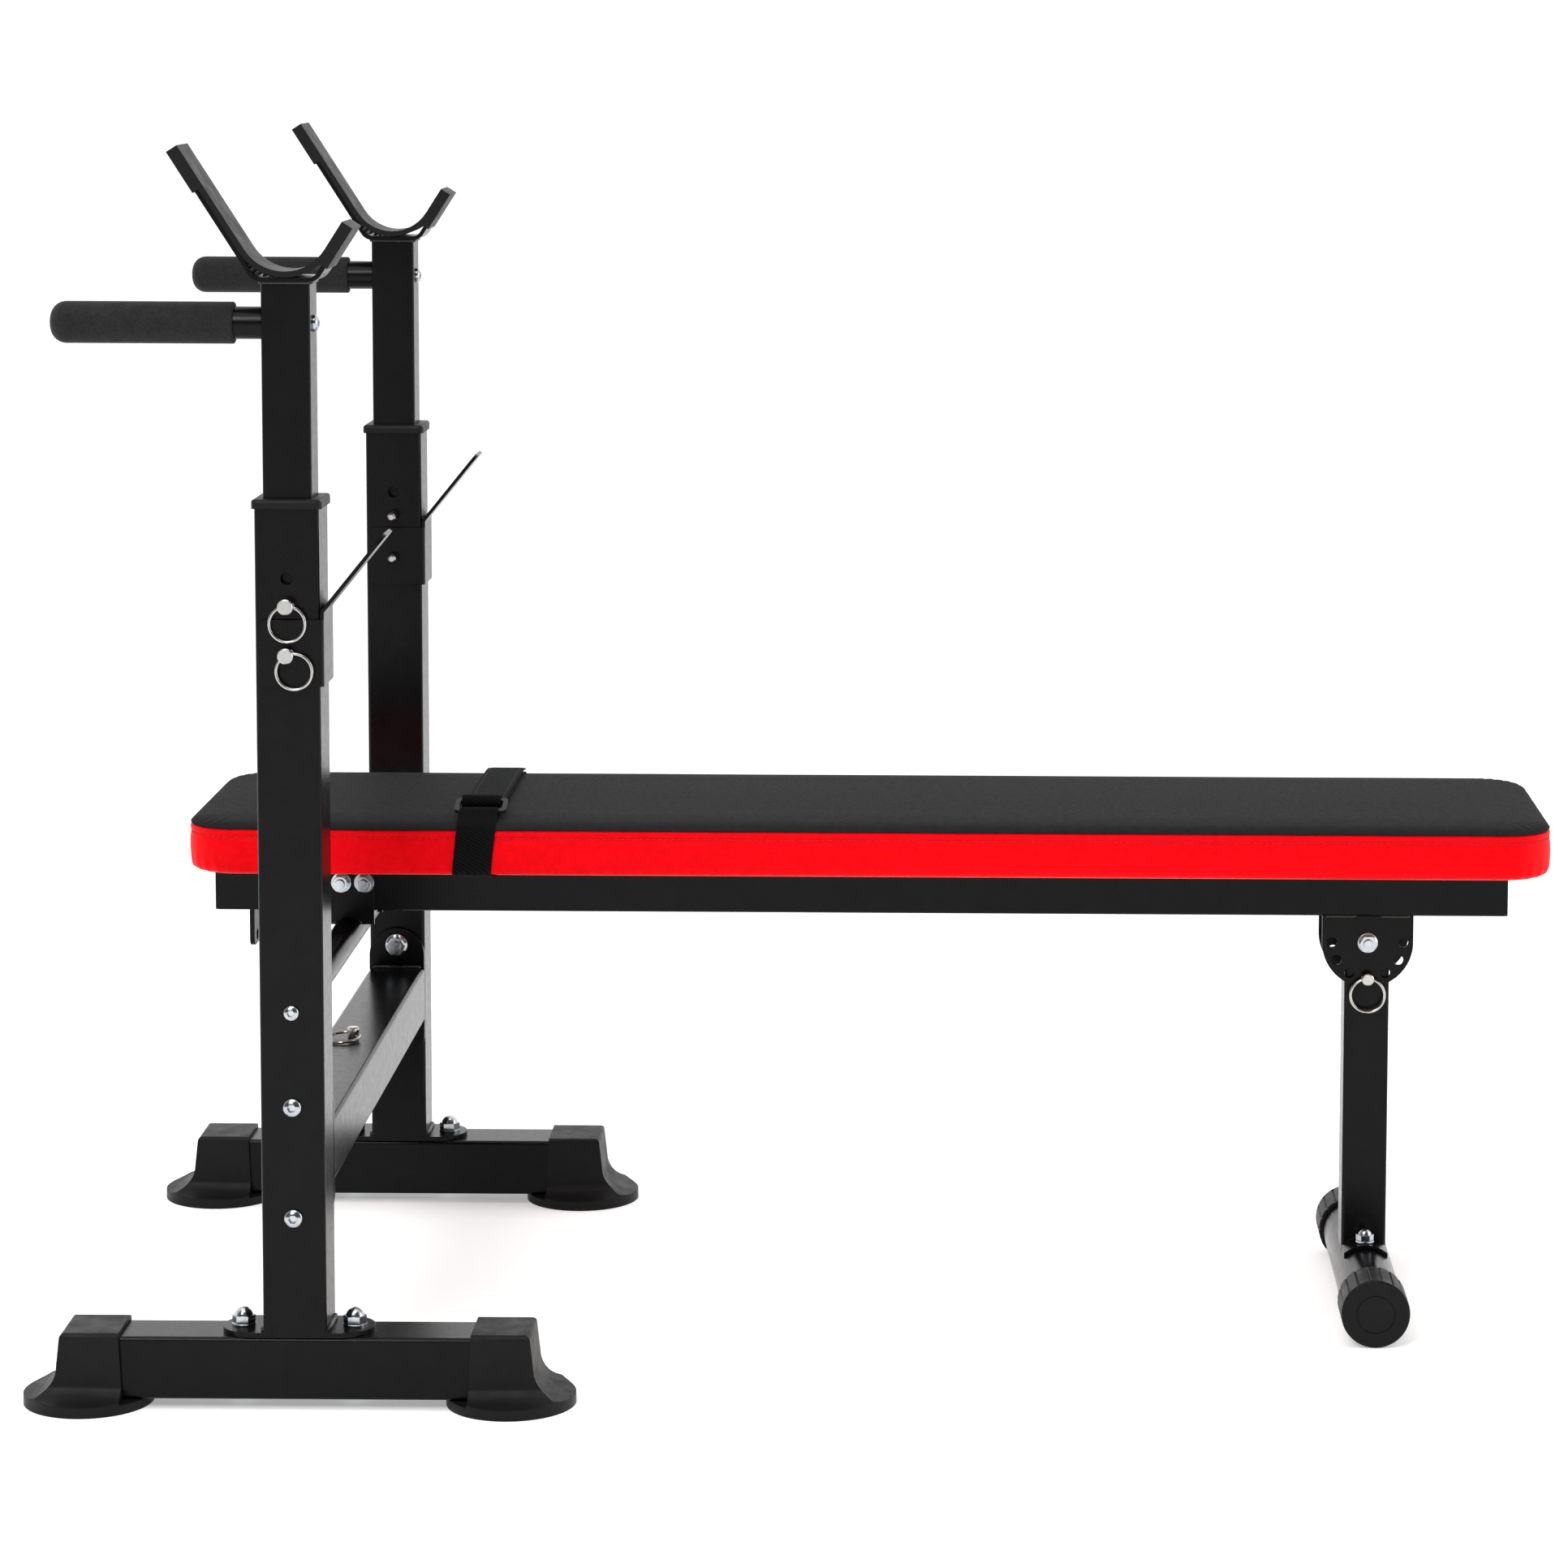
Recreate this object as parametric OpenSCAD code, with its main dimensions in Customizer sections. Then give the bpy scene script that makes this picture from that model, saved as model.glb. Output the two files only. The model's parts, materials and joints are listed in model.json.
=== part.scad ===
// Folding olympic bench press: two telescoping uprights with bar hooks, dip
// handles and safety catches, and a padded bench that pivots on a cross tube
// between them and stands on a hinged front leg. Millimetres, +Z up. +X points
// from the uprights to the foot end of the bench, -Y is the lifter's right.
// The origin is on the floor, under the middle of the overall box.

/* [Rack] */
// Distance from the origin back to the uprights, along X
post_back = 395; // [380:1:410]
// Distance between the centres of the two uprights
post_spacing = 628; // [600:1:660]
// Side of the square outer tube
post_w = 50; // [46:1:54]
// Height of the top of the outer tube
post_top = 713; // [705:1:716]
// Side of the square inner tube
inner_w = 38; // [34:1:40]
// Height of the top of the inner tube, under the bar hook
inner_top = 888; // [880:1:895]
// Distance between the holes of the inner tube
hole_pitch = 38; // [38:1:38]

/* [Bar hook] */
// Angle of both hook arms above the floor plane, in degrees
hook_angle = 57.5; // [56:0.5:59]
// Thickness of the steel strip of the hook
hook_t = 3.5; // [3:0.25:4]
// Thickness of the plastic liner on the hook
liner_t = 4.6; // [4:0.2:5]
// Width of the liner across the hook
liner_w = 48; // [46:1:50]

/* [Base] */
// Half length of the square base tube
base_half = 158; // [150:1:162]
// Radius of the round foot under each cap
cap_r = 51.25; // [48:0.25:52]

/* [Bench] */
// Width of the pad
pad_w = 260; // [250:1:270]
// Height of the pad's lower face above the floor
pad_z = 386; // [386:1:386]
// Height of the seam between side band and top cover
seam_z = 424; // [420:1:426]
// Height of the flat of the pad above the floor
pad_top = 433; // [430:1:436]
// Plan radius of the pad's corners
pad_corner = 42; // [30:1:50]

/* [Leg] */
// Diameter of the round foot tube under the leg
foot_d = 50; // [46:1:50]
// Half length of the foot across the bench
foot_half = 155; // [145:1:165]

/* [Hidden] */
$fn = 48;

frame_black = [0.10, 0.10, 0.11];
plastic_black = [0.16, 0.16, 0.17];
zinc = [0.78, 0.80, 0.82];
nickel = [0.85, 0.84, 0.80];

hy = post_spacing / 2;
wall = 2;
bore = post_w - 2 * wall;
// heights of the round holes through the outer tube
catch_z = 600;
pin_z = catch_z + hole_pitch;
free_z = 659;
pivot_z = 317.7;
cb_z = 196;
cb_bolts = [242.6, 154.2];
pin_hole = 4.9;
pin_r = 4.6;
ring_r = 13.9;
ring_wire = 1.2;
right_tilt = -26;
left_tilt = 12;
handle_z = 855;

// beam, leg hinge and tab
beam_back = -109.7;
beam_front = 979.5;
beam_z = 336;
leg_x = 864;
leg_z = 313;
arc_r = 30.3;
tab_x = -83;
fold_max = 85;
tab_hole_z = pivot_z + tab_x / tan(fold_max);
pad_back = -120.6;
pad_front = 1008.5;
foot_z = 28.5;
strap_x = 118.7;
strap_w = 32;

// --- helpers ---
module rack() translate([-post_back, 0, 0]) children();
// local frame of one upright: y = 0 at its centre and -Y outwards
module right_side() rack() translate([0, -hy, 0]) children();
module left_side() rack() mirror([0, 1, 0]) translate([0, -hy, 0]) children();

// rounded rectangle made of squares and circles
module rrect(w, d, r) {
    square([w - 2 * r, d], center = true);
    square([w, d - 2 * r], center = true);
    for (i = [-1, 1], j = [-1, 1]) translate([i * (w / 2 - r), j * (d / 2 - r)]) circle(r);
}
module tube2(w, d, t, r) difference() {
    rrect(w, d, r);
    rrect(w - 2 * t, d - 2 * t, max(r - t, 0.8));
}
// extrude a profile drawn in (X, Z) along Y, centred
module along_y(len) rotate([90, 0, 0]) linear_extrude(len, center = true) children();
// extrude a profile drawn in (Y, Z) along X, centred
module along_x(len) rotate([90, 0, 90]) linear_extrude(len, center = true) children();
// cylinder along Y from y0 to y1
module ycyl(r, y0, y1) translate([0, y0, 0]) rotate([-90, 0, 0]) cylinder(r = r, h = y1 - y0);
module xcyl(r, x0, x1) translate([x0, 0, 0]) rotate([0, 90, 0]) cylinder(r = r, h = x1 - x0);

function arc(cx, cy, r, a0, a1, n) = [for (i = [0:n]) let (a = a0 + (a1 - a0) * i / n) [cx + r * cos(a), cy + r * sin(a)]];

// low domed head with a hex socket, seat at z = 0 and dome towards +Z
module button_head(r, h, af) difference() {
    rotate_extrude() polygon(concat([[0, 0], [r, 0], [r, h * 0.28]],
        [for (i = [1:5]) [r * cos(i * 14), h * 0.28 + h * 0.72 * sin(i * 14) / sin(70)]],
        [[0, h]]));
    translate([0, 0, h * 0.35]) cylinder(r = af / sqrt(3), h = h, $fn = 6);
}
// closed dome nut on a thread of radius t, seat at z = 0
module dome_nut(af, t, hex = 6.4) difference() {
    union() {
        cylinder(r = af / 2 + 1.4, h = 1.4);
        cylinder(r = af / sqrt(3), h = hex, $fn = 6);
        translate([0, 0, hex - 1]) sphere(r = af / 2 - 0.6);
    }
    translate([0, 0, -1]) cylinder(r = t + 0.06, h = hex + 3.2);
}
// open hex nut with a flange, seat at z = 0
module flange_nut(af, fr, h, t) difference() {
    union() {
        cylinder(r = fr, h = 1.8);
        translate([0, 0, 1.8]) cylinder(r1 = fr - 0.4, r2 = af / 2 + 0.3, h = 1.2);
        cylinder(r = af / sqrt(3), h = h, $fn = 6);
    }
    translate([0, 0, -1]) cylinder(r = t + 0.06, h = h + 2);
}

// --- base ---
module base_tube() translate([0, 0, 33]) difference() {
    along_x(2 * base_half) tube2(50, 50, wall, 3.2);
    for (x = [-44, 44]) translate([x, 0, -30]) cylinder(r = 5.4, h = 60);
}
module base_tube_right() color(frame_black) right_side() base_tube();
module base_tube_left() color(frame_black) left_side() base_tube();

// plastic end foot: a socket on the tube that flares into a round sole
function flare(x1, z1, x2, z2, n) = [for (i = [0:n]) let (t = 90 * i / n) [x2 - (x2 - x1) * cos(t), z1 - (z1 - z2) * sin(t)]];
module foot_cap() {
    cx = 167.25;
    rim = 7.4;
    lip = 8.2;
    top = 61.4;
    difference() {
        union() {
            translate([cx, 0, 0]) cylinder(r = cap_r, h = rim, $fn = 96);
            intersection() {
                translate([cx, 0, 0]) cylinder(r = cap_r, h = top, $fn = 96);
                along_y(120) polygon(concat([[135.8, 0], [138.4, top]],
                    arc(185 - 4, top - 4, 4, 90, 8, 5),
                    flare(187.6, 34, cx + cap_r + 0.5, lip, 9), [[cx + cap_r + 0.5, 0]]));
                along_x(600) polygon(concat([[-cap_r - 1, 0]],
                    [for (i = [8:-1:0]) let (p = flare(28.6, 21, cap_r + 1, lip, 8)[i]) [-p[0], p[1]]],
                    arc(-28.6 + 4, top - 4, 4, 180, 90, 5), arc(28.6 - 4, top - 4, 4, 90, 0, 5),
                    flare(28.6, 21, cap_r + 1, lip, 8), [[cap_r + 1, 0]]));
            }
        }
        translate([base_half / 2 + 0.2, 0, 33]) along_x(base_half) rrect(50.3, 50.3, 3.2);
    }
}
module foot_cap_front_right() color(plastic_black) right_side() foot_cap();
module foot_cap_rear_right() color(plastic_black) right_side() mirror([1, 0, 0]) foot_cap();
module foot_cap_front_left() color(plastic_black) left_side() foot_cap();
module foot_cap_rear_left() color(plastic_black) left_side() mirror([1, 0, 0]) foot_cap();

module base_bolt() {
    translate([0, 0, 8]) mirror([0, 0, 1]) button_head(8.75, 5, 6);
    translate([0, 0, 7.9]) cylinder(r = 5, h = 62.6);
    translate([0, 0, 62]) dome_nut(16, 5, 7.8);
}
module base_bolts() color(zinc) {
    right_side() for (x = [-44, 44]) translate([x, 0, 0]) base_bolt();
    left_side() for (x = [-44, 44]) translate([x, 0, 0]) base_bolt();
}

// --- uprights ---
module upright() difference() {
    union() {
        translate([0, 0, 61.9]) linear_extrude(post_top - 61.9) tube2(post_w, post_w, wall, 3.2);
        translate([0, 0, 58]) linear_extrude(4) {
            square([70, 50], center = true);
            for (i = [-1, 1]) translate([i * 35, 0]) circle(25);
        }
        // weld fillet round the foot of the tube
        translate([0, 0, 62]) linear_extrude(2.2) difference() {
            rrect(post_w + 4, post_w, 4);
            rrect(post_w - 1, post_w - 1, 3);
        }
    }
    for (x = [-44, 44]) translate([x, 0, 50]) cylinder(r = 5.4, h = 20);
    for (z = [catch_z, pin_z, free_z]) translate([0, 0, z]) ycyl(pin_hole, -40, 40);
    translate([0, 0, pivot_z]) ycyl(4.3, -40, 40);
    for (z = cb_bolts) translate([0, 0, z]) ycyl(5.3, -40, 40);
}
module upright_right() color(frame_black) right_side() upright();
module upright_left() color(frame_black) left_side() upright();

// plastic collar: flange with rolled edges and a sleeve inside the outer tube
module collar() {
    f = post_w + 4.6;
    h = 7.5;
    difference() {
        union() {
            intersection() {
                translate([0, 0, post_top]) linear_extrude(h) rrect(f, f, 5.5);
                translate([0, 0, post_top]) along_y(f + 2) polygon(concat([[-f / 2, -1]], arc(-f / 2 + 3.4, h - 3.4, 3.4, 180, 90, 5), arc(f / 2 - 3.4, h - 3.4, 3.4, 90, 0, 5), [[f / 2, -1]]));
                translate([0, 0, post_top]) along_x(f + 2) polygon(concat([[-f / 2, -1]], arc(-f / 2 + 3.4, h - 3.4, 3.4, 180, 90, 5), arc(f / 2 - 3.4, h - 3.4, 3.4, 90, 0, 5), [[f / 2, -1]]));
            }
            translate([0, 0, 673]) linear_extrude(post_top - 672.9) rrect(bore - 0.2, bore - 0.2, 1.8);
        }
        translate([0, 0, 660]) linear_extrude(80) rrect(inner_w + 0.4, inner_w + 0.4, 2.4);
    }
}
module collar_right() color(plastic_black) right_side() collar();
module collar_left() color(plastic_black) left_side() collar();

// --- crossbeam ---
module crossbeam_end() translate([0, -hy + post_w / 2 + 2, 0]) difference() {
    along_y(4) {
        translate([0, cb_z]) square([50, 74], center = true);
        for (s = [-1, 1]) translate([0, cb_z + s * 37]) circle(25, $fn = 72);
    }
    for (z = cb_bolts) translate([0, 0, z]) ycyl(5.3, -10, 10);
}
module crossbeam() color(frame_black) rack() difference() {
    union() {
        translate([0, 0, cb_z]) rotate([90, 0, 0]) linear_extrude(post_spacing - post_w - 7.9, center = true) tube2(50, 50, wall, 3.2);
        crossbeam_end();
        mirror([0, 1, 0]) crossbeam_end();
    }
    translate([0, 0, cb_z]) cylinder(r = 4.4, h = 40);
}
module crossbeam_bolt() {
    translate([0, -post_w / 2, 0]) rotate([90, 0, 0]) button_head(7.5, 4.8, 6);
    ycyl(5, -post_w / 2 - 0.1, post_w / 2 + 4 + 12.5);
    translate([0, post_w / 2 + 4, 0]) rotate([-90, 0, 0]) flange_nut(15, 10, 9.6, 5);
}
module crossbeam_bolts() color(zinc) {
    right_side() for (z = cb_bolts) translate([0, 0, z]) crossbeam_bolt();
    left_side() for (z = cb_bolts) translate([0, 0, z]) crossbeam_bolt();
}
module pivot_bolt() translate([0, 0, pivot_z]) {
    translate([0, -post_w / 2, 0]) rotate([90, 0, 0]) button_head(6.2, 4, 5);
    ycyl(4, -post_w / 2 - 0.1, post_w / 2 + 26);
}
module pivot_bolts() color(zinc) {
    right_side() pivot_bolt();
    left_side() pivot_bolt();
}

// --- telescoping inner post with bar hook and dip handle ---
module inner_post() difference() {
    translate([0, 0, 430]) linear_extrude(inner_top - 430) tube2(inner_w, inner_w, wall, 2.6);
    for (k = [-4:3]) translate([0, 0, catch_z + k * hole_pitch]) ycyl(pin_hole, -30, 30);
    translate([0, 0, handle_z]) xcyl(4.3, -30, 30);
}
module inner_post_right() color(frame_black) right_side() inner_post();
module inner_post_left() color(frame_black) left_side() inner_post();

module slide_guide() {
    translate([0, 0, 420]) linear_extrude(10) rrect(bore - 0.5, bore - 0.5, 2);
    translate([0, 0, 429.9]) linear_extrude(11) rrect(inner_w - 2 * wall - 0.1, inner_w - 2 * wall - 0.1, 1.4);
}
module slide_guide_right() color(plastic_black) right_side() slide_guide();
module slide_guide_left() color(plastic_black) left_side() slide_guide();

// hook outline: surfaces at a depth u inside the steel's lower face
hx0 = -24;
hx1 = 25;
tip_back = 98 / sin(hook_angle);
tip_front = 40 / sin(hook_angle);
half = tan(hook_angle / 2);
va = [cos(hook_angle), sin(hook_angle)];
mid_x = (hx0 + hx1) / 2;
vr0 = (hx1 - hx0) / (2 * half);
// point on the back or front arm, s along the arm from the corner, u inwards
function on_back(s, u) = [hx0 - s * va[0] + u * va[1], inner_top + s * va[1] + u * va[0]];
function on_front(s, u) = [hx1 + s * va[0] - u * va[1], inner_top + s * va[1] + u * va[0]];
// bent strip surface with corner radius r at depth u
function bend(r, u, n) = concat(
    [for (i = [0:n]) let (a = hook_angle * (1 - i / n)) [hx0 + r * half - (r - u) * sin(a), inner_top + r - (r - u) * cos(a)]],
    [for (i = [0:n]) let (a = hook_angle * i / n) [hx1 - r * half + (r - u) * sin(a), inner_top + r - (r - u) * cos(a)]]);
// round valley surface at depth u
function valley(u, n) = [for (i = [0:n]) let (a = hook_angle * (2 * i / n - 1)) [mid_x + (vr0 - u) * sin(a), inner_top + vr0 - (vr0 - u) * cos(a)]];
function rev(v) = [for (i = [len(v) - 1:-1:0]) v[i]];

module hook_steel(w, g) along_y(w) polygon(concat(
    [on_back(tip_back + g, -g)], bend(11.5, -g, 6), [on_front(tip_front + g, -g)],
    [on_front(tip_front + g, hook_t + g)], rev(bend(11.5, hook_t + g, 6)), [on_back(tip_back + g, hook_t + g)]));
module hook_bracket() hook_steel(45, 0);
module hook_bracket_right() color(frame_black) right_side() hook_bracket();
module hook_bracket_left() color(frame_black) left_side() hook_bracket();

module hook_liner() {
    t1 = hook_t + liner_t;
    cap = 34.5;
    difference() {
        union() {
            along_y(liner_w) polygon(concat([on_back(tip_back + 2.6, hook_t)], valley(hook_t, 14), [on_front(tip_front + 2.6, hook_t)],
                [on_front(tip_front + 2.6, t1)], rev(valley(t1, 14)), [on_back(tip_back + 2.6, t1)]));
            along_y(liner_w) polygon([on_back(tip_back - cap, -1.7), on_back(tip_back + 2.6, -1.7), on_back(tip_back + 2.6, t1), on_back(tip_back - cap, t1)]);
            along_y(liner_w) polygon([on_front(tip_front - cap, -1.5), on_front(tip_front + 2.6, -1.5), on_front(tip_front + 2.6, t1), on_front(tip_front - cap, t1)]);
            // stiffening ribs under the rear of the valley
            for (q = [[16, 1.1], [22, 2.6], [28, 3.2], [34, 3.2], [40, 1.5]])
                translate([mid_x, 0, inner_top + vr0]) rotate([0, q[0], 0])
                    translate([-0.8, -liner_w / 2 + 1, -(vr0 - hook_t) - q[1]]) cube([1.6, liner_w - 2, q[1] + 1]);
        }
        hook_steel(45.3, 0.1);
    }
}
module hook_liner_right() color(plastic_black) right_side() hook_liner();
module hook_liner_left() color(plastic_black) left_side() hook_liner();

module dip_handle() translate([0, 0, handle_z]) difference() {
    xcyl(12.7, -177, -inner_w / 2);
    xcyl(10.7, -180, -48);
    xcyl(4.1, -50, 0);
}
module dip_handle_right() color(frame_black) right_side() dip_handle();
module dip_handle_left() color(frame_black) left_side() dip_handle();

// foam sleeve, closed and rounded at its rear end
module dip_grip() translate([-42, 0, handle_z]) rotate([0, -90, 0]) rotate_extrude() polygon(concat(
    [[12.75, 0], [15.6, 0], [16.3, 0.8], [16.3, 142 - 12]], arc(16.3 - 12, 142 - 12, 12, 8, 90, 8),
    [[0, 142], [0, 135.3], [12.75, 135.3]]));
module dip_grip_right() color([0.14, 0.14, 0.15]) right_side() dip_grip();
module dip_grip_left() color([0.14, 0.14, 0.15]) left_side() dip_grip();

module handle_bolt() translate([inner_w / 2, 0, handle_z]) {
    rotate([0, 90, 0]) button_head(6.8, 4.4, 5);
    xcyl(4, -inner_w - 24, 0.1);
}
module handle_bolt_right() color(zinc) right_side() handle_bolt();
module handle_bolt_left() color(zinc) left_side() handle_bolt();

// --- safety catch: channel round the upright with an angled blade ---
module safety_catch() {
    g = post_w / 2 + 0.3;
    zb = 631;
    difference() {
        intersection() {
            translate([0, 0, 575]) linear_extrude(52) difference() {
                translate([-10, 0]) rrect(2 * (g + 3) + 20, 2 * (g + 3), 4.2);
                translate([-10, 0]) rrect(2 * g + 20, 2 * g, 1.2);
            }
            along_y(100) translate([(g + 3 - 22.7) / 2 + 20, 601]) rrect(g + 3 + 22.7 + 40, 52, 6);
        }
        translate([0, 0, catch_z]) ycyl(pin_hole, -50, 50);
    }
    along_y(2 * g - 2) polygon(concat([[g, 620], [g, zb]],
        [for (i = [1:5]) let (a = 39 * i / 5) [g + 7 - 7 * cos(a), zb + 7 * sin(a)]],
        [for (i = [5:-1:0]) let (a = 39 * i / 5) [g + 7 - 4 * cos(a), zb + 4 * sin(a)]], [[g + 3, 620]]));
    translate([g + 7 - 4 * cos(39), 0, zb + 4 * sin(39)]) rotate([0, -51, 0]) translate([-0.1, 0, 0]) linear_extrude(3) {
        translate([0, -24.3]) square([66, 48.6]);
        translate([0, -15.3]) square([75, 30.6]);
        for (s = [-1, 1]) translate([66, s * 15.3]) circle(9);
    }
}
module safety_catch_right() color(frame_black) right_side() safety_catch();
module safety_catch_left() color(frame_black) left_side() safety_catch();

// --- quick pins and their rings ---
// pin along +Y with its head's seat at y = 0, cross-drilled for the ring
module quick_pin(r, len, hr, hl, tip) difference() {
    rotate([-90, 0, 0]) rotate_extrude() polygon([[0, -hl], [hr - 0.7, -hl], [hr, -hl + 0.7], [hr, -0.5], [hr - 0.5, 0],
        [r, 0], [r, len - tip], [r * 0.86, len - tip * 0.45], [r * 0.5, len], [0, len]]);
    translate([0, -hl / 2, 0]) for (s = [0, 180]) rotate([0, 90 + s, 0]) cylinder(r1 = 1.45, r2 = 1.45 + hr * 0.26, h = hr + 0.5);
}
// loose ring, hanging below the origin in the XZ plane
module pull_ring(mr, wr) translate([0, 0, -mr]) rotate([90, 0, 0]) rotate_extrude($fn = 64) translate([mr, 0]) circle(wr, $fn = 20);

head_len = 11.6;
cpin_y = -post_w / 2 - 3.4;
module height_pin(t) translate([0, -post_w / 2 - 0.2, pin_z]) rotate([0, t, 0]) quick_pin(pin_r, 68, 6.1, head_len, 7);
module catch_pin(t) translate([0, cpin_y, catch_z]) rotate([0, t, 0]) quick_pin(pin_r, 71, 6.1, head_len - 1.6, 7);
module height_ring(t) translate([0, -post_w / 2 - 0.2 - head_len / 2, pin_z]) rotate([0, t, 0]) pull_ring(ring_r, ring_wire);
module catch_ring(t) translate([0, cpin_y - (head_len - 1.6) / 2, catch_z]) rotate([0, t, 0]) pull_ring(ring_r, ring_wire);
module height_pin_right() color(nickel) right_side() height_pin(-3);
module height_pin_left() color(nickel) left_side() height_pin(0);
module height_pin_ring_right() color(nickel) right_side() height_ring(-3);
module height_pin_ring_left() color(nickel) left_side() height_ring(0);
module catch_pin_right() color(nickel) right_side() catch_pin(right_tilt);
module catch_pin_left() color(nickel) left_side() catch_pin(left_tilt);
module catch_pin_ring_right() color(nickel) right_side() catch_ring(right_tilt);
module catch_pin_ring_left() color(nickel) left_side() catch_ring(left_tilt);

// storage pin stands in the crossbeam; its ring lies towards -Y and -X
st_dir = 240;
st_tilt = 6.4;
st_z = 225.5;
module storage_pin() color(nickel) rack() difference() {
    translate([0, 0, 221.1]) rotate([0, 0, st_dir - 270]) rotate([-90, 0, 0]) rotate([0, 0, 0]) rotate([90, 0, 0])
        rotate_extrude() polygon([[0, 9.2], [4.3, 9.2], [4.9, 8.6], [4.9, 0.4], [4.5, 0], [4, 0], [4, -38], [3.4, -41], [2, -44], [0, -44]]);
    translate([0, 0, st_z]) rotate([0, 0, st_dir - 270]) for (s = [0, 180]) rotate([0, 90 + s, 0]) cylinder(r1 = 1.45, r2 = 2.5, h = 5);
}
module storage_pin_ring() color(nickel) rack() translate([0, 0, st_z]) rotate([0, 0, st_dir - 270]) rotate([-90 + st_tilt, 0, 0]) pull_ring(ring_r, 1.15);

// --- bench frame ---
module pivot_tube() color(frame_black) rack() translate([0, 0, pivot_z]) difference() {
    ycyl(12.7, -hy + post_w / 2 + 0.8, hy - post_w / 2 - 0.8);
    ycyl(10.7, -hy + post_w / 2 + 32, hy - post_w / 2 - 32);
    ycyl(4.06, -hy, -hy + 60);
    ycyl(4.06, hy - 60, hy);
}
module pivot_bracket() color(frame_black) rack() difference() {
    union() {
        for (s = [-1, 1]) translate([0, s * 26.6, 0]) along_y(3) translate([0, (325 + 384) / 2]) square([45.2, 384 - 325], center = true);
        translate([-22.6, -28.1, 332.9]) cube([45.2, 56.2, 3]);
    }
    translate([0, 0, pivot_z]) ycyl(12.75, -60, 60);
    for (x = [-5, 14.5]) translate([x, 0, 361]) ycyl(4.3, -60, 60);
}
module bracket_bolt() {
    translate([0, 28.1, 0]) rotate([-90, 0, 0]) button_head(7, 4.4, 5);
    ycyl(4, -28.1 - 1.6 - 10.5, 28.2);
    difference() {
        ycyl(8.4, -28.1 - 1.6, -28.1);
        ycyl(4.06, -40, 0);
    }
    translate([0, -28.1 - 1.6, 0]) rotate([90, 0, 0]) difference() {
        union() {
            cylinder(r = 13 / sqrt(3), h = 5.6, $fn = 6);
            cylinder(r = 6.3, h = 7.6);
        }
        translate([0, 0, -1]) cylinder(r = 4.06, h = 12);
    }
}
module bracket_bolts() color(zinc) rack() for (x = [-5, 14.5]) translate([x, 0, 361]) bracket_bolt();

screw_x = [70, 330, 590, 800];
module bench_beam() color(frame_black) rack() difference() {
    union() {
        translate([(beam_back + beam_front) / 2, 0, beam_z + 25]) along_x(beam_front - beam_back) tube2(50, 50, wall, 3.2);
        // storage tab under the rear end
        translate([tab_x, 0, 0]) along_x(4) {
            translate([0, 324]) square([30, 25], center = true);
            translate([0, 310]) square([16, 14], center = true);
            for (s = [-1, 1]) translate([s * 8, 310]) circle(7);
            translate([0, 312]) square([30, 4], center = true);
        }
    }
    translate([tab_x, 0, tab_hole_z]) xcyl(4.8, -10, 10);
    for (x = [-5, 14.5]) translate([x, 0, beam_z + 25]) ycyl(4.3, -40, 40);
    for (x = screw_x) {
        translate([x, 0, beam_z + 40]) cylinder(r = 3.3, h = 20);
        translate([x, 0, beam_z - 5]) cylinder(r = 8, h = 15);
    }
}
module beam_plug() {
    translate([1.2, 0, 0]) along_x(2.4) rrect(49.6, 49.6, 3);
    translate([-7, 0, 0]) along_x(14.2) tube2(45.8, 45.8, 2, 2);
}
module beam_end_plugs() color(plastic_black) rack() {
    translate([beam_front, 0, beam_z + 25]) beam_plug();
    translate([beam_back, 0, beam_z + 25]) mirror([1, 0, 0]) beam_plug();
}

// --- folding leg ---
module leg_hinge_bracket() color(frame_black) rack() translate([leg_x, 0, 0]) for (s = [-1, 1]) translate([0, s * 21, 0]) difference() {
    along_y(3) {
        translate([0, leg_z + 11.5]) square([77.2, 23], center = true);
        difference() {
            translate([0, leg_z]) circle(38.6, $fn = 96);
            translate([0, leg_z + 22.9 + 20]) square([90, 40], center = true);
        }
    }
    translate([0, 0, leg_z]) ycyl(4.3, -5, 5);
    for (a = [180:30:360]) translate([arc_r * cos(a), 0, leg_z + arc_r * sin(a)]) ycyl(4.3, -5, 5);
}
module leg_pivot_bolt() color(zinc) rack() translate([leg_x, 0, leg_z]) {
    translate([0, 22.5, 0]) rotate([-90, 0, 0]) button_head(7, 4.4, 5);
    ycyl(4, -22.5 - 10.6, 22.6);
    translate([0, -22.5, 0]) rotate([90, 0, 0]) flange_nut(13, 8.5, 8, 4);
}
module leg_pin() color(nickel) rack() translate([leg_x, -22.7, leg_z - arc_r]) quick_pin(4, 3.4, 5.1, 9.4, 0.8);
module leg_pin_ring() color(nickel) rack() translate([leg_x, -22.7 - 4.7, leg_z - arc_r]) pull_ring(14.3, ring_wire);

module leg_tube() color(frame_black) rack() translate([leg_x, 0, 0]) difference() {
    union() {
        translate([0, 0, 40]) linear_extrude(leg_z + 10 - 40) tube2(38, 38, wall, 2.6);
        translate([0, 0, leg_z]) ycyl(7.5, -19, 19);
        // saddle plate that follows the foot tube
        intersection() {
            translate([0, 0, foot_z]) ycyl(foot_d / 2 + 3.4, -46, 46);
            translate([-18.5, -46, foot_z + 10]) cube([37, 92, 30]);
        }
    }
    translate([0, 0, foot_z]) ycyl(foot_d / 2 + 0.2, -60, 60);
    translate([0, 0, leg_z]) ycyl(4.06, -30, 30);
    translate([0, 0, leg_z - arc_r]) ycyl(4.3, -30, 30);
    for (s = [-1, 1]) translate([0, s * 33, foot_z]) cylinder(r = 4.3, h = 40);
}
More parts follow.
